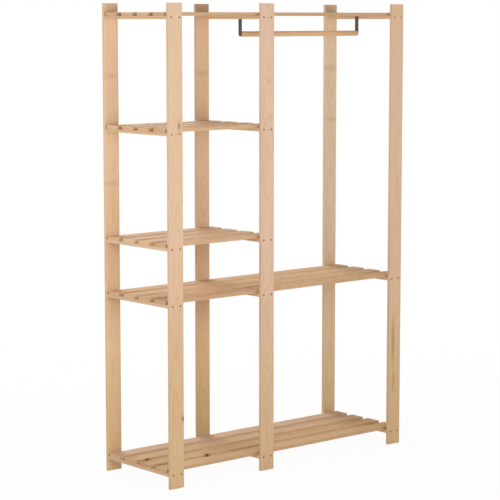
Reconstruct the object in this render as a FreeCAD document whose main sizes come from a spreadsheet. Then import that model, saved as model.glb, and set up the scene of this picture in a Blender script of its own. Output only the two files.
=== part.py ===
"""Open frame wardrobe of pine boards: six uprights, slatted shelves on cross battens and a clothes rail."""

import FreeCAD, Part
import math
import os
import Sketcher

# The part stands on z = 0 with its footprint centred on the origin, its front facing -Y and +X to the right.
doc = FreeCAD.newDocument("open_frame_wardrobe")

# Driving dimensions: lengths in millimetres, the countersink's angle in degrees
SIZES = {
    "height": 1700,
    "width": 1140,
    "depth": 380,
    "left_bay": 360,
    "board_width": 62,
    "board_thickness": 12,
    "board_edge_round": 1.5,
    "base_rise": 50,
    "top_drop": 50,
    "level_step": 200,
    "slat_margin": 11,
    "fit_clearance": 0.05,
    "screw_spacing": 36,
    "screw_length": 40,
    "screw_shank": 3.5,
    "screw_head": 7,
    "screw_tip": 5,
    "countersink_angle": 90,
    "staple_crown": 10,
    "staple_wire": 1.2,
    "staple_leg": 20,
    "rail_diameter": 20,
    "rail_drop": 60,
    "rail_end_bevel": 1,
    "strap_width": 18,
    "strap_thickness": 2.5,
    "strap_reach": 5,
    "strap_edge_bevel": 0.5,
    "strap_screw_length": 18,
    "strap_screw_shank": 3.5,
    "strap_screw_head": 7.5,
    "strap_screw_dome": 2.4,
    "strap_screw_rim": 0.8,
    "strap_screw_crown": 4,
}
SLATS = 4

sheet = doc.addObject("Spreadsheet::Sheet", "sizes")
for row, (alias, size) in enumerate(SIZES.items(), start=1):
    sheet.set(f"A{row}", alias)
    sheet.set(f"B{row}", str(size))
    sheet.setAlias(f"B{row}", alias)
doc.recompute()

# Centre of each column of boards, across the front
COLUMN_X = {
    "left": "-sizes.width / 2 + sizes.board_width / 2",
    "middle": "-sizes.width / 2 + sizes.board_width + sizes.left_bay + sizes.board_width / 2",
    "right": "sizes.width / 2 - sizes.board_width / 2",
}
# Outer face of each row of uprights, and the turn that faces it outwards
ROWS = {"front": ("-sizes.depth / 2", 0), "back": ("sizes.depth / 2", 180)}

# Mid-plane of each shelf's battens, counted down from the top shelf in steps, and the columns it spans
ALL_COLUMNS = ("left", "middle", "right")
LEFT_BAY = ("left", "middle")
TOP_LEVEL = "sizes.height - sizes.top_drop"
SHELVES = {
    "bottom_shelf": ("sizes.base_rise", ALL_COLUMNS),
    "middle_shelf": (f"{TOP_LEVEL} - 5 * sizes.level_step", ALL_COLUMNS),
    "lower_side_shelf": (f"{TOP_LEVEL} - 4 * sizes.level_step", LEFT_BAY),
    "upper_side_shelf": (f"{TOP_LEVEL} - 2 * sizes.level_step", LEFT_BAY),
    "top_shelf": (TOP_LEVEL, ALL_COLUMNS),
}

BATTEN_LENGTH = "(sizes.depth - 2 * sizes.board_thickness)"
SLAT_PITCH = f"(({BATTEN_LENGTH} - 2 * sizes.slat_margin - sizes.board_width) / {SLATS - 1})"
SLAT_SPAN = f"({SLAT_PITCH} * {SLATS - 1})"
RIGHT_BAY = f"(sizes.width - {len(ALL_COLUMNS)} * sizes.board_width - sizes.left_bay)"
RIGHT_BAY_X = f"{COLUMN_X['right']} - sizes.board_width / 2 - {RIGHT_BAY} / 2"

SCREW_HOLE = "sizes.screw_shank + 2 * sizes.fit_clearance"
SCREW_BITE = "sizes.screw_length - sizes.board_thickness + sizes.fit_clearance"
STAPLE_SLOT = "sizes.staple_wire + 2 * sizes.fit_clearance"
STAPLE_BITE = "sizes.staple_leg - sizes.board_thickness + sizes.fit_clearance"
LEG_OFFSET = "(sizes.staple_crown - sizes.staple_wire) / 2"
STRAP_HOLE = "sizes.strap_screw_shank + 2 * sizes.fit_clearance"
STRAP_BITE = "sizes.strap_screw_length - sizes.strap_thickness + sizes.fit_clearance"

sub_parts = []


# Bodies, sketches and features

def value(expression):
    """Returns what an expression of the sheet's cells comes to."""
    return float(sheet.evalExpression(expression))


def new_body(label):
    """Starts a sub-part."""
    body = doc.addObject("PartDesign::Body", label)
    body.Label = label
    body.AllowCompound = True
    sub_parts.append(body)
    return body


def place(body, across, deep, high, turn=0):
    """Stands a sub-part at its place, turned about the vertical."""
    body.Placement.Rotation = FreeCAD.Rotation(FreeCAD.Vector(0, 0, 1), turn)
    body.setExpression("Placement.Base.x", across)
    body.setExpression("Placement.Base.y", deep)
    body.setExpression("Placement.Base.z", high)


def origin_feature(body, role):
    """Finds one of the body's own planes or axes."""
    return next(feature for feature in body.Origin.OriginFeatures if feature.Role == role)


def new_sketch(body, role, lift=None):
    """Starts a sketch on one of the body's own planes, lifted along the plane's normal."""
    sketch = body.newObject("Sketcher::SketchObject", f"{body.Label}_sketch")
    sketch.AttachmentSupport = [(origin_feature(body, role), "")]
    sketch.MapMode = "FlatFace"
    if lift:
        sketch.setExpression("AttachmentOffset.Base.z", lift)
    return sketch


def bind(sketch, kind, *where_and_expression):
    """Adds a dimension to a sketch and binds it to an expression."""
    *where, expression = where_and_expression
    index = sketch.addConstraint(Sketcher.Constraint(kind, *where, value(expression)))
    sketch.setExpression(f"Constraints[{index}]", expression)


def bind_point(sketch, line, end, across, along):
    """Ties one end of a line, or a circle's centre, to its place from the sketch's origin."""
    bind(sketch, "DistanceX", -1, 1, line, end, across)
    bind(sketch, "DistanceY", -1, 1, line, end, along)


def outline(sketch, corners):
    """Draws a closed outline with straight sides, each corner tied to its place."""
    points = [FreeCAD.Vector(value(across), value(along), 0) for across, along in corners]
    sides = []
    for start, end in zip(points, points[1:] + points[:1]):
        sides.append(sketch.addGeometry(Part.LineSegment(start, end)))
    for side, following, corner in zip(sides, sides[1:] + sides[:1], corners):
        sketch.addConstraint(Sketcher.Constraint("Coincident", side, 2, following, 1))
        bind_point(sketch, side, 1, *corner)


def rectangle(sketch, across, along, wide, high):
    """Draws a rectangle about its centre."""
    left, right = f"{across} - ({wide}) / 2", f"{across} + ({wide}) / 2"
    low, top = f"{along} - ({high}) / 2", f"{along} + ({high}) / 2"
    outline(sketch, [(left, low), (right, low), (right, top), (left, top)])


def circle(sketch, across, along, diameter):
    """Draws a circle about its centre."""
    centre = FreeCAD.Vector(value(across), value(along), 0)
    ring = sketch.addGeometry(Part.Circle(centre, FreeCAD.Vector(0, 0, 1), value(diameter) / 2))
    bind(sketch, "Diameter", ring, diameter)
    bind_point(sketch, ring, 3, across, along)


def pad(body, sketch, length, symmetric=False):
    """Extrudes a sketch along its normal, or evenly to both sides."""
    solid = body.newObject("PartDesign::Pad", f"{body.Label}_pad")
    solid.Profile = sketch
    solid.setExpression("Length", length)
    if symmetric:
        solid.SideType = "Symmetric"
    doc.recompute()
    return solid


def must_cut(body, before):
    """Stops where a cut has taken nothing away."""
    doc.recompute()
    if not body.Shape.Volume < before:
        raise RuntimeError(f"a cut in {body.Label} takes nothing away")


def pocket(body, sketch, depth, upwards=False):
    """Cuts a sketch into the body against its normal, or along it."""
    before = body.Shape.Volume
    cut = body.newObject("PartDesign::Pocket", f"{body.Label}_pocket")
    cut.Profile = sketch
    cut.Reversed = upwards
    cut.setExpression("Length", depth)
    must_cut(body, before)
    return cut


def repeat(body, features, role, length, count):
    """Repeats features in a row along one of the body's axes."""
    row = body.newObject("PartDesign::LinearPattern", f"{body.Label}_row")
    row.Originals = features
    row.Direction = (origin_feature(body, role), [""])
    row.setExpression("Length", length)
    row.Occurrences = count
    body.Tip = row
    doc.recompute()


def mirror(body, features, role):
    """Mirrors features in one of the body's planes."""
    twin = body.newObject("PartDesign::Mirrored", f"{body.Label}_mirror")
    twin.Originals = features
    twin.MirrorPlane = (origin_feature(body, role), [""])
    body.Tip = twin
    doc.recompute()


def ease_edges(body, solid, kind, chosen, size_property, size):
    """Rounds or bevels the edges that a test chooses."""
    names = [f"Edge{number}" for number, edge in enumerate(solid.Shape.Edges, start=1) if chosen(edge)]
    eased = body.newObject(kind, f"{body.Label}_eased")
    eased.Base = (solid, names)
    eased.setExpression(size_property, size)
    doc.recompute()


def board(body, role, across, along, wide, high, length, symmetric=False):
    """Makes a planed board whose four long edges are rounded."""
    section = new_sketch(body, role)
    rectangle(section, across, along, wide, high)
    blank = pad(body, section, length, symmetric)
    longest = max(edge.Length for edge in blank.Shape.Edges)
    ease_edges(body, blank, "PartDesign::Fillet", lambda edge: edge.Length == longest,
               "Radius", "sizes.board_edge_round")


# Uprights: boards on end, broad face outwards, with two countersunk holes at each shelf

def shelves_at(column):
    """Lists the levels whose shelf has a batten in a column."""
    return [level for level, columns in SHELVES.values() if column in columns]


def upright(row, column):
    """Makes one upright, its outer face on the body's XZ plane."""
    body = new_body(f"upright_{row}_{column}")
    board(body, "XY_Plane", "0", "sizes.board_thickness / 2",
          "sizes.board_width", "sizes.board_thickness", "sizes.height")
    places = new_sketch(body, "XZ_Plane")
    for level in shelves_at(column):
        for side in (-1, 1):
            circle(places, f"{side} * sizes.screw_spacing / 2", level, SCREW_HOLE)
    doc.recompute()
    before = body.Shape.Volume
    hole = body.newObject("PartDesign::Hole", f"{body.Label}_hole")
    hole.Profile = places
    hole.DepthType = "ThroughAll"
    hole.HoleCutType = "Countersink"
    hole.setExpression("Diameter", SCREW_HOLE)
    hole.setExpression("HoleCutDiameter", "sizes.screw_head + 2 * sizes.fit_clearance")
    hole.setExpression("HoleCutCountersinkAngle", "sizes.countersink_angle")
    must_cut(body, before)
    outer_face, turn = ROWS[row]
    place(body, COLUMN_X[column], outer_face, "0", turn)


# Battens: boards laid flat from front to back, drilled in both ends and slotted for the slats' staples

def staple_legs(sketch, across, along, slot):
    """Draws the slots of a staple's two legs."""
    for side in (-1, 1):
        rectangle(sketch, f"{across} + {side} * {LEG_OFFSET}", along, slot, slot)


def batten(shelf, column, strap_side=0):
    """Makes one batten, centred on its body's origin; strap_side is the edge that carries a rail strap."""
    body = new_body(f"{shelf}_batten_{column}")
    board(body, "XZ_Plane", "0", "0", "sizes.board_width", "sizes.board_thickness", BATTEN_LENGTH, True)
    if strap_side:
        pilot = new_sketch(body, "YZ_Plane", f"{strap_side} * sizes.board_width / 2")
        circle(pilot, "0", "0", STRAP_HOLE)
        pocket(body, pilot, STRAP_BITE, strap_side < 0)
    end_pilots = new_sketch(body, "XZ_Plane", f"{BATTEN_LENGTH} / 2")
    for side in (-1, 1):
        circle(end_pilots, f"{side} * sizes.screw_spacing / 2", "0", SCREW_HOLE)
    mirror(body, [pocket(body, end_pilots, SCREW_BITE)], "XZ_Plane")
    crown = new_sketch(body, "XY_Plane", "-sizes.board_thickness / 2")
    rectangle(crown, "0", f"-{SLAT_SPAN} / 2", "sizes.staple_crown + 2 * sizes.fit_clearance", STAPLE_SLOT)
    legs = new_sketch(body, "XY_Plane", "-sizes.board_thickness / 2")
    staple_legs(legs, "0", f"-{SLAT_SPAN} / 2", STAPLE_SLOT)
    cuts = [pocket(body, crown, "sizes.staple_wire", True), pocket(body, legs, "sizes.board_thickness", True)]
    repeat(body, cuts, "Y_Axis", SLAT_SPAN, SLATS)
    place(body, COLUMN_X[column], "0", SHELVES[shelf][0])


# Slats: boards that lie on the battens from the left column's outer edge, with blind slots for the staples

def slat(shelf, number):
    """Makes one slat, its left end on the body's YZ plane, its number counted from the front."""
    level, columns = SHELVES[shelf]
    body = new_body(f"{shelf}_slat_{number}")
    far_edge = f"{COLUMN_X[columns[-1]]} + sizes.board_width / 2"
    board(body, "YZ_Plane", "0", "0", "sizes.board_width", "sizes.board_thickness",
          f"{far_edge} + sizes.width / 2")
    slots = new_sketch(body, "XY_Plane", "-sizes.board_thickness / 2")
    for column in columns:
        staple_legs(slots, f"{COLUMN_X[column]} + sizes.width / 2", "0", STAPLE_SLOT)
    pocket(body, slots, STAPLE_BITE, True)
    place(body, "-sizes.width / 2", f"-{SLAT_SPAN} / 2 + {number - 1} * {SLAT_PITCH}",
          f"{level} + sizes.board_thickness")


# Staples: one at each crossing, crown flush with the batten's underside and legs up into the slat

def staples(shelf):
    """Makes all the staples of one shelf."""
    level, columns = SHELVES[shelf]
    body = new_body(f"{shelf}_staples")
    bent_wire = new_sketch(body, "XZ_Plane", f"{SLAT_SPAN} / 2")
    low = "-sizes.board_thickness / 2"
    for column in columns:
        left, right = (f"{COLUMN_X[column]} {sign} sizes.staple_crown / 2" for sign in "-+")
        outline(bent_wire, [
            (left, low),
            (right, low),
            (right, f"{low} + sizes.staple_leg"),
            (f"{right} - sizes.staple_wire", f"{low} + sizes.staple_leg"),
            (f"{right} - sizes.staple_wire", f"{low} + sizes.staple_wire"),
            (f"{left} + sizes.staple_wire", f"{low} + sizes.staple_wire"),
            (f"{left} + sizes.staple_wire", f"{low} + sizes.staple_leg"),
            (left, f"{low} + sizes.staple_leg"),
        ])
    front_row = pad(body, bent_wire, "sizes.staple_wire", True)
    repeat(body, [front_row], "Y_Axis", SLAT_SPAN, SLATS)
    place(body, "0", "0", level)


# Frame screws: countersunk, two at each joint, heads flush with the upright's outer face

def turned(body, sketch):
    """Turns a sketch round the first straight line that it holds."""
    solid = body.newObject("PartDesign::Revolution", f"{body.Label}_turned")
    solid.Profile = sketch
    solid.ReferenceAxis = (sketch, ["Edge1"])
    doc.recompute()
    return solid


def frame_screws(row, column):
    """Makes all the screws of one upright."""
    body = new_body(f"screws_{row}_{column}")
    head_depth = "(sizes.screw_head - sizes.screw_shank) / 2 / tan(sizes.countersink_angle / 2 * 1 deg)"
    left_screws = []
    for level in shelves_at(column):
        section = new_sketch(body, "YZ_Plane", "-sizes.screw_spacing / 2")
        outline(section, [
            ("0", level),
            ("sizes.screw_length", level),
            ("sizes.screw_length - sizes.screw_tip", f"{level} + sizes.screw_shank / 2"),
            (head_depth, f"{level} + sizes.screw_shank / 2"),
            ("0", f"{level} + sizes.screw_head / 2"),
        ])
        left_screws.append(turned(body, section))
    repeat(body, left_screws, "X_Axis", "sizes.screw_spacing", 2)
    outer_face, turn = ROWS[row]
    place(body, COLUMN_X[column], outer_face, "0", turn)


# Clothes rail: a dowel between two flat straps that hang from the top shelf's battens in the right bay

def clothes_rail():
    """Makes the rail, drilled in both ends."""
    body = new_body("clothes_rail")
    length = f"{RIGHT_BAY} - 2 * sizes.strap_thickness"
    section = new_sketch(body, "YZ_Plane")
    circle(section, "0", "0", "sizes.rail_diameter")
    dowel = pad(body, section, length, True)
    ease_edges(body, dowel, "PartDesign::Chamfer", lambda edge: edge.Closed, "Size", "sizes.rail_end_bevel")
    pilot = new_sketch(body, "YZ_Plane", f"({length}) / 2")
    circle(pilot, "0", "0", STRAP_HOLE)
    mirror(body, [pocket(body, pilot, STRAP_BITE)], "YZ_Plane")
    place(body, RIGHT_BAY_X, "0", f"{TOP_LEVEL} - sizes.rail_drop")


def rail_strap(end, turn, batten_edge):
    """Makes one strap: a flat bar with a round lower end, its seat on the body's YZ plane."""
    body = new_body(f"rail_strap_{end}")
    bar = new_sketch(body, "YZ_Plane")
    half = "sizes.strap_width / 2"
    centre = FreeCAD.Vector(0, value("-sizes.rail_drop"), 0)
    full_round = Part.Circle(centre, FreeCAD.Vector(0, 0, 1), value(half))
    lower_end = bar.addGeometry(Part.ArcOfCircle(full_round, math.pi, math.tau))
    corners = [(half, "-sizes.rail_drop"), (half, "sizes.strap_reach"),
               (f"-{half}", "sizes.strap_reach"), (f"-{half}", "-sizes.rail_drop")]
    points = [FreeCAD.Vector(value(across), value(along), 0) for across, along in corners]
    sides = [bar.addGeometry(Part.LineSegment(*ends)) for ends in zip(points, points[1:])]
    path = [lower_end] + sides
    for piece, following in zip(path, path[1:] + path[:1]):
        bar.addConstraint(Sketcher.Constraint("Coincident", piece, 2, following, 1))
    for piece, corner in zip(path, corners):
        bind_point(bar, piece, 2, *corner)
    bind(bar, "DistanceY", -1, 1, lower_end, 3, "-sizes.rail_drop")
    blank = pad(body, bar, "sizes.strap_thickness")
    ease_edges(body, blank, "PartDesign::Chamfer", lambda edge: edge.BoundBox.XLength < blank.Length.Value,
               "Size", "sizes.strap_edge_bevel")
    holes = new_sketch(body, "YZ_Plane")
    for level in ("0", "-sizes.rail_drop"):
        circle(holes, "0", level, STRAP_HOLE)
    pocket(body, holes, "sizes.strap_thickness", True)
    place(body, batten_edge, "0", TOP_LEVEL, turn)


def strap_screws(name, seat, inwards, level):
    """Makes a pair of pan-head screws, mirrored about the middle of the right bay."""
    body = new_body(name)
    section = new_sketch(body, "XZ_Plane")
    way = 1 if inwards else -1
    outline(section, [
        (f"{seat} - {way} * sizes.strap_screw_dome", "0"),
        (f"{seat} + {way} * sizes.strap_screw_length", "0"),
        (f"{seat} + {way} * (sizes.strap_screw_length - sizes.screw_tip)", "sizes.strap_screw_shank / 2"),
        (seat, "sizes.strap_screw_shank / 2"),
        (seat, "sizes.strap_screw_head / 2"),
        (f"{seat} - {way} * sizes.strap_screw_rim", "sizes.strap_screw_head / 2"),
        (f"{seat} - {way} * sizes.strap_screw_dome", "sizes.strap_screw_crown / 2"),
    ])
    mirror(body, [turned(body, section)], "YZ_Plane")
    place(body, RIGHT_BAY_X, "0", level)


# The whole wardrobe, put together from the floor up

for row in ROWS:
    for column in ALL_COLUMNS:
        upright(row, column)
        frame_screws(row, column)
STRAP_EDGES = {("top_shelf", "middle"): 1, ("top_shelf", "right"): -1}
for shelf, (_, columns) in SHELVES.items():
    for column in columns:
        batten(shelf, column, STRAP_EDGES.get((shelf, column), 0))
    for number in range(1, SLATS + 1):
        slat(shelf, number)
    staples(shelf)
clothes_rail()
rail_strap("left", 0, f"{COLUMN_X['middle']} + sizes.board_width / 2")
rail_strap("right", 180, f"{COLUMN_X['right']} - sizes.board_width / 2")
strap_screws("strap_batten_screws", f"-{RIGHT_BAY} / 2 + sizes.strap_thickness", False, TOP_LEVEL)
strap_screws("strap_rail_screws", f"-{RIGHT_BAY} / 2", True, f"{TOP_LEVEL} - sizes.rail_drop")
doc.recompute()

# Nothing is written unless every object is sound
for item in doc.Objects:
    if "Invalid" in item.State or "Error" in item.State:
        raise RuntimeError(f"{item.Label} failed: {item.State}")
for body in sub_parts:
    if body.Shape.isNull() or not body.Shape.isValid():
        raise RuntimeError(f"{body.Label} has no valid shape")
os.makedirs("parts", exist_ok=True)
for body in sub_parts:
    body.Shape.exportStep(f"parts/{body.Label}.step")
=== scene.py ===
"""Looks of an open frame wardrobe: planed pine boards, slatted shelves, a clothes rail and the fixings."""
import bmesh
import bpy
import math
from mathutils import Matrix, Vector


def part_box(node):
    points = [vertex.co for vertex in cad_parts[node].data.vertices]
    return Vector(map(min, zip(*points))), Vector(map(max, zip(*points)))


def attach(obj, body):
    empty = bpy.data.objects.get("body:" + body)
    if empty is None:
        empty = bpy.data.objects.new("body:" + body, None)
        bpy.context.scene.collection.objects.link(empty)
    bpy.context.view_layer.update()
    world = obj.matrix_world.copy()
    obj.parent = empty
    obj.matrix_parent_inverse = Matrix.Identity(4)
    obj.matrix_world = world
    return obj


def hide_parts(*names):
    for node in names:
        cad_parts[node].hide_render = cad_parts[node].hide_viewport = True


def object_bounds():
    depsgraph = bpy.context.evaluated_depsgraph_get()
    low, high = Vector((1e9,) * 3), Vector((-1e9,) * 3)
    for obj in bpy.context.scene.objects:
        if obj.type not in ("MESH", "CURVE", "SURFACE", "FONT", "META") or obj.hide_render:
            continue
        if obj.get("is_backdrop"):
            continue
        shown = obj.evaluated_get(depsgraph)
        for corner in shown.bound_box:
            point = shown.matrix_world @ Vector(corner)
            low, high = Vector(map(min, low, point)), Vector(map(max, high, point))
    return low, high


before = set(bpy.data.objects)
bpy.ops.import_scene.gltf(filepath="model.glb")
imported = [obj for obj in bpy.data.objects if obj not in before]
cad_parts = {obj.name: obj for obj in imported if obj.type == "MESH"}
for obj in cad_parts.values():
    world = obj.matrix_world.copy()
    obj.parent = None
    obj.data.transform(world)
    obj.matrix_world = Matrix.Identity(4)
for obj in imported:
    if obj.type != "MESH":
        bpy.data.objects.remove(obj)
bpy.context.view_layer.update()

# Uprights
# Six planed pine boards stand on end with the broad face to the front, square cut and left unfinished.
# Each has its own growth rings, fibres and knots, saw marks on its ends and bruised edges, with a painted
# shade that makes it yellower and darker toward its foot.
PINE = {
    "fawn": (0.640, 0.432, 0.252),
    "wheat": (0.655, 0.462, 0.308),
    "russet": (0.685, 0.466, 0.282),
    "amber": (0.715, 0.489, 0.304),
    "straw": (0.694, 0.492, 0.337),
    "rosy": (0.690, 0.485, 0.355),
    "tan": (0.742, 0.512, 0.318),
    "honey": (0.757, 0.545, 0.362),
    "cream": (0.792, 0.562, 0.365),
    "pale": (0.754, 0.577, 0.420),
}
EARLY_TINT = (1.035, 1.05, 1.075, 1.0)
LATE_TINT = (0.86, 0.77, 0.64, 1.0)
DRIFT_TINT = (0.985, 0.93, 0.86, 1.0)
STREAK_TINT = (0.80, 0.69, 0.57, 1.0)
RIM_TINT = (0.80, 0.66, 0.50, 1.0)
HEART_TINT = (0.90, 0.80, 0.71, 1.0)
SAWN_TINT = (0.80, 0.775, 0.75, 1.0)
# Painted shade: the tint that makes the uprights yellower and darker toward their feet, where the light is
# dimmer and warmer.
FOOT_SHADE_TINT = (0.955, 0.955, 0.80, 1.0)
KNOT_COLOUR = (0.115, 0.052, 0.022, 1.0)


def set_or_link(tree, socket, value):
    """Gives a socket a value, or a link where the value comes from another node."""
    if isinstance(value, bpy.types.NodeSocket):
        tree.links.new(value, socket)
    else:
        socket.default_value = value


def calc(tree, operation, *values):
    """Adds a Math node and returns its result."""
    node = tree.nodes.new("ShaderNodeMath")
    node.operation = operation
    for socket, value in zip(node.inputs, values):
        set_or_link(tree, socket, value)
    return node.outputs[0]


def ramp(tree, value, edge, low=0.0, high=1.0):
    """Returns a smooth step from low at the start of the edge to high at its end."""
    node = tree.nodes.new("ShaderNodeMapRange")
    node.interpolation_type = "SMOOTHSTEP"
    start, end = edge
    limits = {"Value": value, "From Min": start, "From Max": end, "To Min": low, "To Max": high}
    for name, limit in limits.items():
        set_or_link(tree, node.inputs[name], limit)
    return node.outputs["Result"]


def noise(tree, axes, cells, detail, seed):
    """Returns a noise between 0 and 1, with that many cells to the metre along each axis."""
    place = tree.nodes.new("ShaderNodeCombineXYZ")
    for socket, axis, count in zip(place.inputs, axes, cells):
        tree.links.new(calc(tree, "MULTIPLY_ADD", axis, count, seed), socket)
    node = tree.nodes.new("ShaderNodeTexNoise")
    tree.links.new(place.outputs[0], node.inputs["Vector"])
    node.inputs["Scale"].default_value = 1.0
    node.inputs["Detail"].default_value = detail
    return node.outputs["Fac"]


def tinted(tree, colour, mask, tint, blend="MULTIPLY"):
    """Tints a colour where the mask is 1."""
    node = tree.nodes.new("ShaderNodeMix")
    node.data_type = "RGBA"
    node.blend_type = blend
    for name, value in (("Factor", mask), ("A", colour), ("B", tint)):
        socket = next(s for s in node.inputs if s.name == name and s.enabled)
        set_or_link(tree, socket, value)
    return next(s for s in node.outputs if s.enabled)


def new_group(name, inputs, outputs):
    """Starts a shader node group and returns it with what goes in and what comes out."""
    group = bpy.data.node_groups.new(name, "ShaderNodeTree")
    for direction, labels in (("INPUT", inputs), ("OUTPUT", outputs)):
        for label in labels:
            kind = "NodeSocketColor" if label in ("Wood", "Color") else "NodeSocketFloat"
            group.interface.new_socket(label, in_out=direction, socket_type=kind)
    given = group.nodes.new("NodeGroupInput").outputs
    result = group.nodes.new("NodeGroupOutput").inputs
    return group, given, result


def knot_group():
    """Builds one knot, added to the knots before it: its dark core, brown rim and push on the rings."""
    wobble_noise = (90.0, 210.0), 2.0
    wobble_swing = 0.5
    ring_turns = 15.0
    ring_shade = 0.12
    core_edge = 0.6, 1.1
    rim_edge = 0.7, 2.8
    push_fall = -0.25
    knots = "Core", "Rim", "Push"
    group, given, result = new_group(
        "pine_knot",
        ("Along", "Across", "Place along", "Place across", "Radius", "Stretch", "Dark", "Brown", *knots),
        knots)
    along = calc(group, "SUBTRACT", given["Along"], given["Place along"])
    along = calc(group, "DIVIDE", along, given["Stretch"])
    across = calc(group, "SUBTRACT", given["Across"], given["Place across"])
    reach = calc(group, "ADD", calc(group, "POWER", along, 2.0), calc(group, "POWER", across, 2.0))
    reach = calc(group, "DIVIDE", calc(group, "SQRT", reach), given["Radius"])
    wobble = noise(group, (given["Along"], given["Across"]), *wobble_noise, 0.0)
    wobble = calc(group, "MULTIPLY_ADD", wobble, wobble_swing, 1.0 - wobble_swing / 2)
    reach = calc(group, "MULTIPLY", reach, wobble)
    rings = calc(group, "SINE", calc(group, "MULTIPLY", reach, ring_turns))
    rings = calc(group, "MULTIPLY_ADD", rings, ring_shade, 1.0 - ring_shade)
    core = calc(group, "MULTIPLY", ramp(group, reach, core_edge, 1.0, 0.0), rings)
    core = calc(group, "MULTIPLY", core, given["Dark"])
    rim = calc(group, "MULTIPLY", ramp(group, reach, rim_edge, 1.0, 0.0), given["Brown"])
    push = calc(group, "MULTIPLY", calc(group, "POWER", reach, 2.0), push_fall)
    push = calc(group, "MULTIPLY", calc(group, "EXPONENT", push), given["Radius"])
    group.links.new(calc(group, "MAXIMUM", given["Core"], core), result["Core"])
    group.links.new(calc(group, "MAXIMUM", given["Rim"], rim), result["Rim"])
    group.links.new(calc(group, "ADD", given["Push"], push), result["Push"])
    return group


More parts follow.
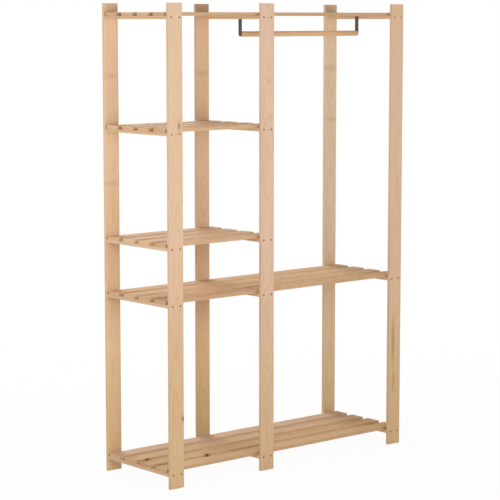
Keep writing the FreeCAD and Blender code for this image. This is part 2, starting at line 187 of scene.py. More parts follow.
def wood_group():
    """Builds the pine: rings about a wandering pith, fibres, streaks, knots, end grain and sawn edges."""
    # Cells to the metre along, across and through the board, and how much detail is in them
    sway_noise = (1.9, 0.0, 0.0), 2.0
    heave_noise = (2.6, 0.0, 0.0), 2.0
    ripple_noise = (8.0, 40.0, 40.0), 3.0
    fibre_noise = (6.0, 520.0, 520.0), 5.0
    fleck_noise = (30.0, 1100.0, 1100.0), 1.0
    kerf_noise = (0.0, 25.0, 1300.0), 2.0
    saw_noise = (420.0, 0.0, 90.0), 2.0
    drift_noise = (1.5, 14.0, 14.0), 2.0
    streak_noise = (2.1, 85.0, 85.0), 2.0
    heave_seed = 31.7
    drift_seed = 11.3
    streak_seed = 5.1
    # How far the pith wanders and the rings ripple, in metres
    sway_reach = 0.06
    heave_reach = 0.05
    ripple_reach = 0.003
    heart_ripple = 0.012
    # Where each mark begins and where it is full
    late_rise = 0.25, 0.86
    late_fall = 0.88, 1.0
    fibre_edge = 0.40, 0.66
    fleck_edge = 0.64, 0.72
    saw_edge = 0.40, 0.65
    drift_edge = 0.36, 0.70
    streak_edge = 0.52, 0.76
    heart_edge = 0.058, 0.084
    # How strong each mark is in the colour, the roughness and the relief
    year_spread = 0.7
    drift_share = 0.55
    fibre_share = 0.26
    fleck_share = 0.45
    kerf_share = 0.22
    end_share = 0.04
    saw_share = 0.5
    sawn_share = 0.75
    arris_share = 0.28
    plain_rough = 0.62
    fibre_rough = 0.18
    late_rough = -0.10
    end_rough = 0.12
    late_relief = 0.5
    saw_relief = 0.8
    knot_relief = 0.8

    group, given, result = new_group(
        "pine_wood",
        ("Wood", "Along", "Across", "Through", "End grain", "Sawn", "Arris", "Yellow", "Seed", "Figure",
         "Streaks", "Heart", "Pith across", "Pith depth", "Ring width", "Core", "Rim", "Push"),
        ("Color", "Roughness", "Height"))
    axes = given["Along"], given["Across"], given["Through"]
    seed = given["Seed"]
    sway = noise(group, axes, *sway_noise, seed)
    heave = noise(group, axes, *heave_noise, calc(group, "ADD", seed, heave_seed))
    ripple = noise(group, axes, *ripple_noise, seed)
    side = calc(group, "SUBTRACT", given["Across"], given["Pith across"])
    side = calc(group, "ADD", side, calc(group, "MULTIPLY_ADD", sway, sway_reach, -sway_reach / 2))
    depth = calc(group, "SUBTRACT", given["Through"], given["Pith depth"])
    depth = calc(group, "ADD", depth, calc(group, "MULTIPLY_ADD", heave, heave_reach, -heave_reach / 2))
    radius = calc(group, "ADD", calc(group, "POWER", side, 2.0), calc(group, "POWER", depth, 2.0))
    radius = calc(group, "MULTIPLY_ADD", ripple, ripple_reach, calc(group, "SQRT", radius))
    radius = calc(group, "ADD", radius, given["Push"])

    turns = calc(group, "DIVIDE", radius, given["Ring width"])
    ring = calc(group, "FRACT", turns)
    year = group.nodes.new("ShaderNodeTexWhiteNoise")
    year.noise_dimensions = "1D"
    group.links.new(calc(group, "ADD", calc(group, "FLOOR", turns), seed), year.inputs["W"])
    year = calc(group, "MULTIPLY_ADD", year.outputs["Value"], year_spread, 1.0 - year_spread)
    late = calc(group, "MULTIPLY", ramp(group, ring, late_rise), ramp(group, ring, late_fall, 1.0, 0.0))
    late = calc(group, "MULTIPLY", late, year)
    fibre = noise(group, axes, *fibre_noise, seed)
    fleck = ramp(group, noise(group, axes, *fleck_noise, seed), fleck_edge)
    kerf = ramp(group, noise(group, axes, *kerf_noise, seed), saw_edge)
    kerf = calc(group, "MULTIPLY", kerf, given["End grain"])
    saw = ramp(group, noise(group, axes, *saw_noise, seed), saw_edge)
    saw = calc(group, "MULTIPLY", saw, given["Sawn"])
    drift = noise(group, axes, *drift_noise, calc(group, "ADD", seed, drift_seed))
    drift = ramp(group, drift, drift_edge)
    streak = noise(group, axes, *streak_noise, calc(group, "ADD", seed, streak_seed))
    streak = calc(group, "MULTIPLY", ramp(group, streak, streak_edge), given["Streaks"])
    heart = calc(group, "MULTIPLY_ADD", ripple, heart_ripple, radius)
    heart = calc(group, "MULTIPLY", ramp(group, heart, heart_edge, 1.0, 0.0), given["Heart"])
    end = calc(group, "MULTIPLY", given["End grain"], end_share)
    end = calc(group, "MULTIPLY_ADD", kerf, kerf_share, end)
    sawn = calc(group, "MULTIPLY", given["Sawn"], sawn_share)
    sawn = calc(group, "MULTIPLY_ADD", saw, saw_share, sawn)

    layers = (
        (1.0, EARLY_TINT),
        (heart, HEART_TINT),
        (calc(group, "MULTIPLY", late, given["Figure"]), LATE_TINT),
        (calc(group, "MULTIPLY", drift, drift_share), DRIFT_TINT),
        # Painted shade: the foot of an upright turns yellower and darker.
        (given["Yellow"], FOOT_SHADE_TINT),
        (streak, STREAK_TINT),
        (ramp(group, fibre, fibre_edge, 0.0, fibre_share), LATE_TINT),
        (calc(group, "MULTIPLY", fleck, fleck_share), STREAK_TINT),
        (end, STREAK_TINT),
        (sawn, SAWN_TINT),
        (calc(group, "MULTIPLY", given["Arris"], arris_share), STREAK_TINT),
        (given["Rim"], RIM_TINT),
    )
    colour = given["Wood"]
    for mask, tint in layers:
        colour = tinted(group, colour, mask, tint)
    colour = tinted(group, colour, given["Core"], KNOT_COLOUR, "MIX")
    group.links.new(colour, result["Color"])

    rough = calc(group, "MULTIPLY_ADD", fibre, fibre_rough, plain_rough)
    rough = calc(group, "MULTIPLY_ADD", late, late_rough, rough)
    rough = calc(group, "MULTIPLY_ADD", given["End grain"], end_rough, rough)
    group.links.new(rough, result["Roughness"])
    relief = calc(group, "MULTIPLY_ADD", late, late_relief, fibre)
    relief = calc(group, "MULTIPLY_ADD", calc(group, "ADD", kerf, saw), saw_relief, relief)
    relief = calc(group, "MULTIPLY_ADD", given["Core"], knot_relief, relief)
    group.links.new(relief, result["Height"])
    return group


def arris_group():
    """Builds the small bruises that a board takes along its long edges."""
    bruise_noise = (24.0, 60.0, 60.0), 3.0
    bruise_edge = 0.42, 0.68
    bruise_width = 0.0006, 0.0028
    group, given, result = new_group(
        "arris_wear",
        ("Along", "Across", "Through", "Half width", "Half thickness", "Seed"),
        ("Arris",))
    across = calc(group, "SUBTRACT", given["Half width"], calc(group, "ABSOLUTE", given["Across"]))
    through = calc(group, "SUBTRACT", given["Half thickness"], calc(group, "ABSOLUTE", given["Through"]))
    inset = calc(group, "MAXIMUM", across, through)
    axes = given["Along"], given["Across"], given["Through"]
    bruise = ramp(group, noise(group, axes, *bruise_noise, given["Seed"]), bruise_edge)
    worn = calc(group, "MULTIPLY", ramp(group, inset, bruise_width, 1.0, 0.0), bruise)
    group.links.new(worn, result["Arris"])
    return group


pine_knot = knot_group()
pine_wood = wood_group()
arris_wear = arris_group()


def placed(tree, group, **values):
    """Places a node group in a material, with its inputs set or linked."""
    node = tree.nodes.new("ShaderNodeGroup")
    node.node_tree = group
    for label, value in values.items():
        set_or_link(tree, node.inputs[label.replace("_", " ").capitalize()], value)
    return node.outputs


def new_material(name, specular):
    """Starts a material and returns it with its node tree and its shader."""
    material = bpy.data.materials.new(name)
    material.use_nodes = True
    shader = material.node_tree.nodes["Principled BSDF"]
    shader.inputs["Specular IOR Level"].default_value = specular
    return material, material.node_tree, shader


def bumped(tree, shader, height, distance, strength):
    """Gives a shader a fine relief."""
    bump = tree.nodes.new("ShaderNodeBump")
    bump.inputs["Distance"].default_value = distance
    bump.inputs["Strength"].default_value = strength
    tree.links.new(height, bump.inputs["Height"])
    tree.links.new(bump.outputs["Normal"], shader.inputs["Normal"])


PINE_SPECULAR = 0.12
PINE_RELIEF = 0.0003
PINE_BUMP = 0.4
SQUARE_ON = 0.6, 0.9
# How far up from the foot the painted shade reaches, in metres.
FOOT_SHADE_REACH = 0.85
SEED_STEP = 3.7
PITH_SPREAD = 0.10
PITH_SPREAD_STEP = 1.7
PITH_NEAREST = 0.03
PITH_FURTHER = 0.07
PITH_DEPTH_STEP = 2.3
RING_WIDTH = 0.0036
RING_SPREAD = 0.0012
RING_STEP = 0.9
board_count = 0


def pine_board(node, length, width, tone, figure, streaks, heart, knots=(), sawn=0.0, yellow=0.0):
    """Gives a board its own pine, with the grain along one axis and the board's width along another."""
    global board_count
    board_count += 1
    seed = SEED_STEP * board_count
    low, high = (Vector(corner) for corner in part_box(node))
    size = dict(zip("XYZ", high - low))
    thickness = next(axis for axis in "XYZ" if axis not in (length, width))
    material, tree, shader = new_material(f"pine_{node}", PINE_SPECULAR)
    place = tree.nodes.new("ShaderNodeTexCoord")
    centred = tree.nodes.new("ShaderNodeMapping")
    centred.inputs["Location"].default_value = -(low + high) / 2
    tree.links.new(place.outputs["Object"], centred.inputs["Vector"])
    split = tree.nodes.new("ShaderNodeSeparateXYZ")
    tree.links.new(centred.outputs[0], split.inputs[0])
    along, across, through = (split.outputs[axis] for axis in (length, width, thickness))
    facing = tree.nodes.new("ShaderNodeSeparateXYZ")
    tree.links.new(place.outputs["Normal"], facing.inputs[0])
    end_on, edge_on = (calc(tree, "ABSOLUTE", facing.outputs[axis]) for axis in (length, width))

    marks = {"Core": 0.0, "Rim": 0.0, "Push": 0.0}
    for knot in knots:
        marks = placed(tree, pine_knot, along=along, across=across, **knot,
                       core=marks["Core"], rim=marks["Rim"], push=marks["Push"])
    worn = placed(tree, arris_wear, along=along, across=across, through=through, seed=seed,
                  half_width=size[width] / 2, half_thickness=size[thickness] / 2)
    # Painted shade: the board is tinted yellower and darker from its foot up, fading out over the reach
    # above it.
    foot = -size[length] / 2
    wood = placed(tree, pine_wood, wood=(*PINE[tone], 1.0), along=along, across=across, through=through,
                  end_grain=ramp(tree, end_on, SQUARE_ON),
                  sawn=ramp(tree, edge_on, SQUARE_ON, 0.0, sawn),
                  yellow=ramp(tree, along, (foot, foot + FOOT_SHADE_REACH), yellow, 0.0),
                  arris=worn["Arris"], seed=seed, figure=figure, streaks=streaks, heart=heart,
                  pith_across=PITH_SPREAD * math.sin(PITH_SPREAD_STEP * seed),
                  pith_depth=-PITH_NEAREST - PITH_FURTHER * abs(math.sin(PITH_DEPTH_STEP * seed)),
                  ring_width=RING_WIDTH + RING_SPREAD * math.sin(RING_STEP * seed),
                  core=marks["Core"], rim=marks["Rim"], push=marks["Push"])
    tree.links.new(wood["Color"], shader.inputs["Base Color"])
    tree.links.new(wood["Roughness"], shader.inputs["Roughness"])
    bumped(tree, shader, wood["Height"], PINE_RELIEF, PINE_BUMP)
    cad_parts[node].material_slots[0].material = material


def knot_at(along, across, radius, stretch, dark, brown):
    """Describes a knot by its place from the board's middle, its size in metres and its strength."""
    return dict(place_along=along, place_across=across, radius=radius, stretch=stretch,
                dark=dark, brown=brown)


def band_at(along):
    """Describes the faint brown band right across a board where a ring of branches began."""
    return knot_at(along, across=0.0, radius=0.026, stretch=0.3, dark=0.10, brown=0.22)


UPRIGHT_FIGURE = 0.42
UPRIGHT_STREAKS = 0.14
UPRIGHT_HEART = 0.15
# Strength of the painted shade at the foot of each upright.
UPRIGHT_FOOT_SHADE = 1.0
upright_tones = {
    "upright_front_left": "straw",
    "upright_front_middle": "rosy",
    "upright_front_right": "straw",
    "upright_back_left": "honey",
    "upright_back_middle": "wheat",
    "upright_back_right": "pale",
}
upright_knots = {
    "upright_front_left": [
        knot_at(along=-0.603, across=0.029, radius=0.005, stretch=1.6, dark=1.0, brown=0.9),
        knot_at(along=0.427, across=0.0144, radius=0.005, stretch=2.4, dark=0.5, brown=0.5),
    ],
    "upright_front_right": [
        knot_at(along=-0.447, across=-0.009, radius=0.0043, stretch=12.5, dark=0.06, brown=0.88),
        knot_at(along=-0.604, across=-0.006, radius=0.0034, stretch=6.5, dark=0.0, brown=0.75),
    ],
    "upright_back_left": [band_at(0.594), band_at(0.205)],
    "upright_back_middle": [band_at(0.593)],
    "upright_back_right": [band_at(0.601), band_at(0.4)],
}
for node, tone in upright_tones.items():
    pine_board(node, "Z", "X", tone, UPRIGHT_FIGURE, UPRIGHT_STREAKS, UPRIGHT_HEART,
               upright_knots.get(node, ()), yellow=UPRIGHT_FOOT_SHADE)

# Shelf battens
# Short lengths of the same board lie flat from a front upright to the back one behind it.
# Each is screwed into its end grain at both ends and carries the shelf's slats.
BATTEN_FIGURE = 0.5
BATTEN_STREAKS = 0.25
BATTEN_HEART = 0.3
COLUMNS = ("left", "middle", "right")
batten_tones = {
    "bottom_shelf": ("straw", "amber", "russet"),
    "middle_shelf": ("straw", "russet", "amber"),
    "lower_side_shelf": ("honey", "amber"),
    "upper_side_shelf": ("amber", "straw"),
    "top_shelf": ("amber", "russet", "straw"),
}
for shelf, tones in batten_tones.items():
    for column, tone in zip(COLUMNS, tones):
        pine_board(f"{shelf}_batten_{column}", "Y", "X", tone, BATTEN_FIGURE, BATTEN_STREAKS, BATTEN_HEART)

# Frame screws
# Countersunk steel screws with a cross recess, two into each end of a batten, flush with the upright.
# Their bronzed finish makes them small brown dots on the pale wood.
HEAD_RADIUS = 0.0035
SHANK_RADIUS = 0.00175
HEAD_HEIGHT = HEAD_RADIUS - SHANK_RADIUS
SCREW_SIDES = 20
SCREW_LENGTH = 0.040
PLAIN_LENGTH = 0.012
TIP_LENGTH = 0.005
TIP_SHARE = 0.06
THREAD_PITCH = 0.0023
ROOT_SHARE = 0.72
RECESS_SPAN = 0.0042
RECESS_WING = 0.0010
RECESS_DEPTH = 0.0016
RECESS_TAPER = 0.45
FACING_LIMIT = 0.9
QUARTER_TURN = math.pi / 2
SMOOTH_ANGLE = math.radians(35)


def looks_down(face):
    """Tells whether a face lies level and looks down."""
    return face.normal.z < -FACING_LIMIT


def pick_faces(thing, chosen):
    """Selects the faces of a piece in edit mode by a test, and no others."""
    mesh = bmesh.from_edit_mesh(thing.data)
    for face in mesh.faces:
        face.select = bool(chosen(face))
    mesh.select_flush_mode()
    bmesh.update_edit_mesh(thing.data)


def pick_only(thing):
    """Selects one piece alone and makes it the active one."""
    bpy.ops.object.select_all(action="DESELECT")
    thing.select_set(True)
    bpy.context.view_layer.objects.active = thing


def drawn_out(step, share):
    """Extrudes the selected end of a round piece along Z and scales it about the Z axis."""
    bpy.ops.mesh.extrude_region_move(TRANSFORM_OT_translate={"value": (0.0, 0.0, step)})
    bpy.ops.transform.resize(value=(share, share, 1.0), center_override=(0.0, 0.0, 0.0))


def cross_recess(screw, top):
    """Sinks the tapered cross for the driver into a screw's head."""
    for turn in (0.0, QUARTER_TURN):
        bpy.ops.object.select_all(action="DESELECT")
        bpy.ops.mesh.primitive_cube_add(size=1.0, location=(0.0, 0.0, top), rotation=(0.0, 0.0, turn),
                                        scale=(RECESS_SPAN, RECESS_WING, 2 * RECESS_DEPTH))
        wing = bpy.context.object
        bpy.ops.object.transform_apply(location=True, rotation=True, scale=True)
        bpy.ops.object.mode_set(mode="EDIT")
        pick_faces(wing, looks_down)
        bpy.ops.transform.resize(value=(RECESS_TAPER, RECESS_TAPER, 1.0), center_override=(0.0, 0.0, 0.0))
        bpy.ops.object.mode_set(mode="OBJECT")
        bpy.context.view_layer.objects.active = screw
        cut = screw.modifiers.new("recess", "BOOLEAN")
        cut.object = wing
        cut.solver = "EXACT"
        bpy.ops.object.modifier_apply(modifier=cut.name)
        bpy.data.objects.remove(wing)


def threaded(screw, length, plain):
    """Draws the lowest face of a screw out into a plain neck, a thread and a tip."""
    pick_faces(screw, looks_down)
    drawn_out(-plain, 1.0)
    turns = int((length - plain - TIP_LENGTH - HEAD_HEIGHT) / THREAD_PITCH)
    for _ in range(turns):
        drawn_out(-THREAD_PITCH / 2, ROOT_SHARE)
        drawn_out(-THREAD_PITCH / 2, 1 / ROOT_SHARE)
    drawn_out(-TIP_LENGTH, TIP_SHARE)


def copies(model, name, places):
    """Copies a piece to places, given as (location, rotation), and joins the copies into one mesh."""
    made = []
    for location, rotation in places:
        pick_only(model)
        bpy.ops.object.duplicate(linked=False)
        bpy.context.object.location = location
        bpy.context.object.rotation_euler = rotation
        made.append(bpy.context.object)
    bpy.ops.object.select_all(action="DESELECT")
    for thing in made:
        thing.select_set(True)
    bpy.context.view_layer.objects.active = made[0]
    bpy.ops.object.join()
    bpy.ops.object.transform_apply(location=True, rotation=True, scale=True)
    made[0].name = name
    made[0].data.name = name
    return made[0]


bpy.ops.object.select_all(action="DESELECT")
bpy.ops.mesh.primitive_cone_add(vertices=SCREW_SIDES, radius1=SHANK_RADIUS, radius2=HEAD_RADIUS,
                                depth=HEAD_HEIGHT, location=(0.0, 0.0, -HEAD_HEIGHT / 2))
frame_screw = bpy.context.object
bpy.ops.object.transform_apply(location=True)
bpy.ops.object.mode_set(mode="EDIT")
bpy.ops.mesh.select_mode(type="FACE")
threaded(frame_screw, SCREW_LENGTH, PLAIN_LENGTH)
bpy.ops.object.mode_set(mode="OBJECT")
cross_recess(frame_screw, 0.0)
pick_only(frame_screw)
bpy.ops.object.shade_smooth_by_angle(angle=SMOOTH_ANGLE)


def metal_group():
    """Builds the unevenness of a metal finish: slow tone and fine scratches."""
    tone_noise = (260.0, 260.0, 260.0), 3.0
    scratch_noise = (3000.0, 700.0, 250.0), 2.0
    scratch_seed = 4.0
    scratch_edge = 0.58, 0.72
    group, given, result = new_group("metal_wear", ("X", "Y", "Z"), ("Tone", "Scratch"))
    axes = given["X"], given["Y"], given["Z"]
    group.links.new(noise(group, axes, *tone_noise, 0.0), result["Tone"])
    lines = noise(group, axes, *scratch_noise, scratch_seed)
    group.links.new(ramp(group, lines, scratch_edge), result["Scratch"])
    return group


metal_wear = metal_group()
WORN_EDGE = 0.4, 0.75
WORN_SHARE = 0.5
SCRATCH_SHARE = 0.35
SCRATCH_RELIEF = 0.00004
SCRATCH_BUMP = 0.3
ROUGHNESS_SPREAD = 0.3


def metal_finish(name, colour, worn_colour, metallic, roughness, specular=0.5):
    """Makes a metal finish that is unevenly toned and finely scratched."""
    material, tree, shader = new_material(name, specular)
    shader.inputs["Metallic"].default_value = metallic
    place = tree.nodes.new("ShaderNodeTexCoord")
    split = tree.nodes.new("ShaderNodeSeparateXYZ")
    tree.links.new(place.outputs["Object"], split.inputs[0])
    wear = placed(tree, metal_wear, x=split.outputs["X"], y=split.outputs["Y"], z=split.outputs["Z"])
    worn = ramp(tree, wear["Tone"], WORN_EDGE, 0.0, WORN_SHARE)
    worn = calc(tree, "MULTIPLY_ADD", wear["Scratch"], SCRATCH_SHARE, worn)
    tone = tinted(tree, (*colour, 1.0), worn, (*worn_colour, 1.0), "MIX")
    tree.links.new(tone, shader.inputs["Base Color"])
    rough = calc(tree, "MULTIPLY_ADD", wear["Tone"], ROUGHNESS_SPREAD, roughness - ROUGHNESS_SPREAD / 2)
    tree.links.new(rough, shader.inputs["Roughness"])
    bumped(tree, shader, wear["Scratch"], SCRATCH_RELIEF, SCRATCH_BUMP)
    return material


def middle_of(node):
    """Returns the middle of a CAD piece."""
    low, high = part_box(node)
    return [(start + end) / 2 for start, end in zip(low, high)]


bronzed_steel = metal_finish("bronzed_steel", colour=(0.205, 0.088, 0.022), worn_colour=(0.27, 0.15, 0.06),
                             metallic=0.45, roughness=0.5)
frame_screw.data.materials.append(bronzed_steel)
SCREW_OFFSET = 0.018
TURN_STEP = 0.9
for row, facing in (("front", 1), ("back", -1)):
    for column in COLUMNS:
        node = f"screws_{row}_{column}"
        upright = f"upright_{row}_{column}"
        low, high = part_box(upright)
        face = low[1] if row == "front" else high[1]
        places = []
        for shelf, tones in batten_tones.items():
            if column not in COLUMNS[:len(tones)]:
                continue
            level = middle_of(f"{shelf}_batten_{column}")[2]
            for side in (-1, 1):
                location = middle_of(upright)[0] + side * SCREW_OFFSET, face, level
                places.append((location, (facing * QUARTER_TURN, TURN_STEP * len(places), 0.0)))
        piece = copies(frame_screw, f"{node}_driven", places)
        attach(piece, "root")
        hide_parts(node)
bpy.data.objects.remove(frame_screw)

# Shelf slats
# Four boards to a shelf lie across the battens with even gaps between them, their long edges left as sawn.
# They vary more in colour than the uprights and have more streaks and knots.
SLAT_FIGURE = 0.62
SLAT_STREAKS = 0.45
SLAT_HEART = 0.5
SLAT_SAWN = 0.6
slat_tones = {
    "bottom_shelf": ("fawn", "fawn", "russet", "straw"),
    "middle_shelf": ("russet", "russet", "tan", "tan"),
    "lower_side_shelf": ("russet", "cream", "cream", "cream"),
    "upper_side_shelf": ("russet", "tan", "honey", "cream"),
    "top_shelf": ("fawn", "tan", "honey", "amber"),
}
slat_knots = {
    "bottom_shelf_slat_2": [
        knot_at(along=-0.31, across=-0.028, radius=0.0065, stretch=1.4, dark=1.0, brown=1.0),
    ],
    "bottom_shelf_slat_3": [
        knot_at(along=-0.515, across=-0.030, radius=0.0045, stretch=1.6, dark=0.8, brown=0.8),
    ],
    "top_shelf_slat_1": [
        knot_at(along=0.22, across=0.012, radius=0.0045, stretch=1.5, dark=0.8, brown=0.8),
    ],
    "top_shelf_slat_3": [
        knot_at(along=-0.36, across=-0.014, radius=0.006, stretch=1.4, dark=0.9, brown=0.9),
        knot_at(along=0.41, across=0.019, radius=0.0035, stretch=1.8, dark=0.7, brown=0.7),
    ],
}
for shelf, tones in slat_tones.items():
    for number, tone in enumerate(tones, 1):
        node = f"{shelf}_slat_{number}"
        knots = slat_knots.get(node, ())
        pine_board(node, "X", "Y", tone, SLAT_FIGURE, SLAT_STREAKS, SLAT_HEART, knots, SLAT_SAWN)

# Staples
# One bent wire staple at each crossing, shot from below through the batten into the slat.
# Only the crown shows, sunk flush in the batten's underside.
STAPLE_CROWN = 0.010
STAPLE_WIRE = 0.0012
STAPLE_LEG = 0.020
STAPLE_ROUNDING = 0.0003
ROUNDING_SEGMENTS = 2


def looks_up(face):
    """Tells whether a face lies level and looks up."""
    return face.normal.z > FACING_LIMIT


bpy.ops.object.select_all(action="DESELECT")
bpy.ops.mesh.primitive_cube_add(size=1.0, location=(0.0, 0.0, STAPLE_WIRE / 2),
                                scale=(STAPLE_CROWN, STAPLE_WIRE, STAPLE_WIRE))
staple = bpy.context.object
bpy.ops.object.transform_apply(location=True, scale=True)
bpy.ops.object.mode_set(mode="EDIT")
for side in (-1, 1):
    bpy.ops.mesh.select_all(action="SELECT")
    inner_side = side * (STAPLE_CROWN / 2 - STAPLE_WIRE)
    bpy.ops.mesh.bisect(plane_co=(inner_side, 0.0, 0.0), plane_no=(1.0, 0.0, 0.0))
pick_faces(staple, lambda face: looks_up(face) and abs(face.calc_center_median().x) > STAPLE_CROWN / 3)
bpy.ops.mesh.extrude_region_move(TRANSFORM_OT_translate={"value": (0.0, 0.0, STAPLE_LEG - STAPLE_WIRE)})
bpy.ops.object.mode_set(mode="OBJECT")
rounding = staple.modifiers.new("rounding", "BEVEL")
rounding.width = STAPLE_ROUNDING
rounding.segments = ROUNDING_SEGMENTS
bpy.ops.object.modifier_apply(modifier=rounding.name)
bpy.ops.object.shade_smooth_by_angle(angle=SMOOTH_ANGLE)
zinc_wire = metal_finish("zinc_wire", colour=(0.46, 0.46, 0.45), worn_colour=(0.30, 0.30, 0.30),
                         metallic=0.9, roughness=0.42)
staple.data.materials.append(zinc_wire)
for shelf, tones in slat_tones.items():
    places = []
    for column in COLUMNS[:len(batten_tones[shelf])]:
        batten = f"{shelf}_batten_{column}"
        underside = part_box(batten)[0][2]
        for number in range(1, len(tones) + 1):
            crossing = middle_of(batten)[0], middle_of(f"{shelf}_slat_{number}")[1], underside
            places.append((crossing, (0.0, 0.0, 0.0)))
    piece = copies(staple, f"{shelf}_staples_shot", places)
    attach(piece, "root")
    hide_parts(f"{shelf}_staples")
bpy.data.objects.remove(staple)

# Rail straps
# Two flat steel straps with round ends hang the rail from the inner edges of the top battens.
# They have a dark grey coat, a little uneven and finely scratched.
grey_coat = metal_finish("grey_coat", colour=(0.085, 0.082, 0.072), worn_colour=(0.16, 0.155, 0.14),
                         metallic=0.1, roughness=0.65, specular=0.25)
for side in ("left", "right"):
    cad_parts[f"rail_strap_{side}"].material_slots[0].material = grey_coat

# Clothes rail
# A turned pine dowel with eased ends, as bare as the boards.
# It is held between the two straps by a screw into each end.
pine_board("clothes_rail", "X", "Y", "fawn", figure=0.6, streaks=0.4, heart=0.2)

# Strap screws
# Pan head steel screws with a cross recess and the frame screws' bronzed finish.
# Two hold the straps to the battens, and two go through the straps into the ends of the rail.
PAN_RADIUS = 0.00375
PAN_SIDES = 24
PAN_RIM = 0.0008
PAN_DOME = 0.0024
DOME_SHARES = (0.94, 0.84, 0.68)
STRAP_SCREW_LENGTH = 0.018
STRAP_SCREW_NECK = 0.003
PAN_SMOOTH_ANGLE = math.radians(40)
bpy.ops.object.select_all(action="DESELECT")
bpy.ops.mesh.primitive_cylinder_add(vertices=PAN_SIDES, radius=PAN_RADIUS, depth=PAN_RIM,
                                    location=(0.0, 0.0, PAN_RIM / 2))
strap_screw = bpy.context.object
bpy.ops.object.transform_apply(location=True)
bpy.ops.object.mode_set(mode="EDIT")
pick_faces(strap_screw, looks_up)
for share in DOME_SHARES:
    drawn_out((PAN_DOME - PAN_RIM) / len(DOME_SHARES), share)
pick_faces(strap_screw, looks_down)
bpy.ops.mesh.inset(thickness=PAN_RADIUS - SHANK_RADIUS)
threaded(strap_screw, STRAP_SCREW_LENGTH + HEAD_HEIGHT, STRAP_SCREW_NECK)
bpy.ops.object.mode_set(mode="OBJECT")
cross_recess(strap_screw, PAN_DOME)
pick_only(strap_screw)
bpy.ops.object.shade_smooth_by_angle(angle=PAN_SMOOTH_ANGLE)
strap_screw.data.materials.append(bronzed_steel)
rail_level = middle_of("clothes_rail")[2]
batten_level = middle_of("top_shelf_batten_left")[2]
left_low, left_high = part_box("rail_strap_left")
right_low, right_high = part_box("rail_strap_right")
turned_right = (0.0, QUARTER_TURN, 0.0)
turned_left = (0.0, -QUARTER_TURN, 0.0)
strap_screw_places = {
    "strap_batten_screws": [((left_high[0], 0.0, batten_level), turned_right),
                            ((right_low[0], 0.0, batten_level), turned_left)],
    "strap_rail_screws": [((left_low[0], 0.0, rail_level), turned_left),
                          ((right_high[0], 0.0, rail_level), turned_right)],
}
for node, places in strap_screw_places.items():
    piece = copies(strap_screw, f"{node}_driven", places)
    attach(piece, "root")
    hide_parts(node)
bpy.data.objects.remove(strap_screw)

# Studio
# A floor of white paper runs into a white world, under five wide soft lamps at chest height and above.
# The paper glows a little of itself, so that light also comes up through the gaps between the slats.
FLOOR_SIZE = 60.0
FLOOR_FADE = 0.8, 3.0
FLOOR_SHADE = 0.955
FLOOR_LIGHT = 0.40
PAPER_COLOUR = (0.88, 0.82, 0.72, 1.0)
WHITE = (1.0, 1.0, 1.0, 1.0)
scene = bpy.context.scene
scene.view_settings.view_transform = "Standard"
bpy.ops.object.select_all(action="DESELECT")
bpy.ops.mesh.primitive_plane_add(size=FLOOR_SIZE, location=(0, 0, 0))
floor = bpy.context.object
floor.name = "studio_floor"
floor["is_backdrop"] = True


def white_when_seen(tree):
    """Returns 1 for the rays that show the background, 0 for the rays that light the object."""
    path = tree.nodes.new("ShaderNodeLightPath")
    shown = calc(tree, "MAXIMUM", path.outputs["Is Glossy Ray"], path.outputs["Is Transmission Ray"])
    return calc(tree, "MAXIMUM", path.outputs["Is Camera Ray"], shown)


paper = bpy.data.materials.new("white_paper")
paper.use_nodes = True
tree = paper.node_tree
tree.nodes.remove(tree.nodes["Principled BSDF"])
diffuse = tree.nodes.new("ShaderNodeBsdfDiffuse")
diffuse.inputs["Color"].default_value = PAPER_COLOUR
glow = tree.nodes.new("ShaderNodeEmission")
glow.inputs["Color"].default_value = WHITE
place = tree.nodes.new("ShaderNodeTexCoord")
reach = tree.nodes.new("ShaderNodeVectorMath")
reach.operation = "LENGTH"
tree.links.new(place.outputs["Object"], reach.inputs[0])
fade = ramp(tree, reach.outputs["Value"], FLOOR_FADE, FLOOR_SHADE, 1.0)
lit = calc(tree, "MAXIMUM", calc(tree, "MULTIPLY", white_when_seen(tree), fade), FLOOR_LIGHT)
blend = tree.nodes.new("ShaderNodeMixShader")
tree.links.new(lit, blend.inputs["Fac"])
tree.links.new(diffuse.outputs[0], blend.inputs[1])
tree.links.new(glow.outputs[0], blend.inputs[2])
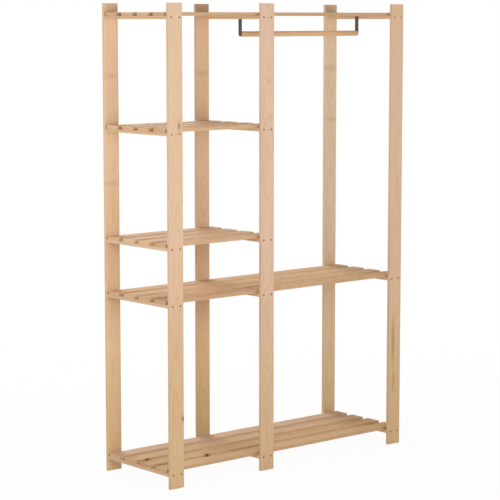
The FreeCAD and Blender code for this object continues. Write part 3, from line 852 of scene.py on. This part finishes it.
tree.links.new(blend.outputs[0], tree.nodes["Material Output"].inputs["Surface"])
floor.data.materials.append(paper)

world = bpy.data.worlds.new("studio_world")
scene.world = world
world.use_nodes = True
tree = world.node_tree
background = tree.nodes["Background"]
background.inputs["Color"].default_value = WHITE
tree.links.new(white_when_seen(tree), background.inputs["Strength"])


def soft_lamp(name, place, aim, size, power):
    """Adds a wide lamp that faces a point above the middle of the floor."""
    lamp = bpy.data.lights.new(name, "AREA")
    lamp.shape = "RECTANGLE"
    lamp.size, lamp.size_y = size
    lamp.energy = power
    thing = bpy.data.objects.new(name, lamp)
    scene.collection.objects.link(thing)
    thing.location = place
    thing.rotation_euler = (Vector((0.0, 0.0, aim)) - Vector(place)).to_track_quat("-Z", "Y").to_euler()
    thing.visible_camera = False


soft_lamp("front_left_lamp", place=(-1.5, -2.3, 1.40), aim=1.25, size=(2.0, 1.2), power=38.0)
soft_lamp("left_lamp", place=(-2.75, 0.1, 1.4), aim=1.25, size=(1.2, 1.2), power=22.0)
soft_lamp("front_right_lamp", place=(1.2, -2.6, 1.45), aim=1.25, size=(2.0, 1.2), power=23.5)
soft_lamp("back_lamp", place=(0.6, 2.8, 2.4), aim=0.9, size=(2.4, 1.2), power=74.0)
soft_lamp("top_lamp", place=(-0.2, -0.4, 4.2), aim=0.8, size=(3.0, 2.5), power=42.0)

# Camera
# A long lens at the top shelf's height looks a little down at the wardrobe from the front left.
# Place, yaw, pitch and lens were fitted together to the edges of the boards, with no shift.
CAMERA_PLACE = (-4.5301, -5.2122, 1.6447)
CAMERA_YAW = 0.7114
CAMERA_PITCH = -0.1236
CAMERA_LENS = 133.93
SENSOR_WIDTH = 36.0
camera_data = bpy.data.cameras.new("camera")
camera_data.lens = CAMERA_LENS
camera_data.sensor_width = SENSOR_WIDTH
camera = bpy.data.objects.new("camera", camera_data)
scene.collection.objects.link(camera)
camera.location = CAMERA_PLACE
camera.rotation_euler = (QUARTER_TURN + CAMERA_PITCH, 0.0, -CAMERA_YAW)
scene.camera = camera

low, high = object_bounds()
